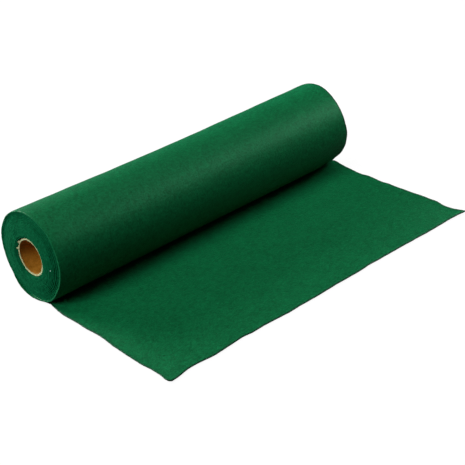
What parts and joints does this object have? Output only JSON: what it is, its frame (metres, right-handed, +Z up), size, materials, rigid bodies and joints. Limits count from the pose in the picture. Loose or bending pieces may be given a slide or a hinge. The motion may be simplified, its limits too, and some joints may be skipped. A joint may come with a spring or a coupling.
{
  "type": "roll of felt",
  "caption": "Roll of green needle-punched craft felt wound on an open cardboard core, lying on its side with its loose end drawn out flat in front.",
  "frame": {"origin": "on the flat underside of the felt, right below the axis of the roll and midway between its ends", "axes": "+X along the core from the near end to the far end, -Y the way the loose end runs out over the floor, +Z up"},
  "size_m": [0.4628, 0.3009, 0.1094],
  "materials": {
    "green_felt": "matte, needle-punched, slightly fuzzy",
    "kraft_board": "plain kraft board, matte"
  },
  "bodies": {
    "root": {"felt": "green_felt", "core_tube": "kraft_board"}
  },
  "joints": []
}
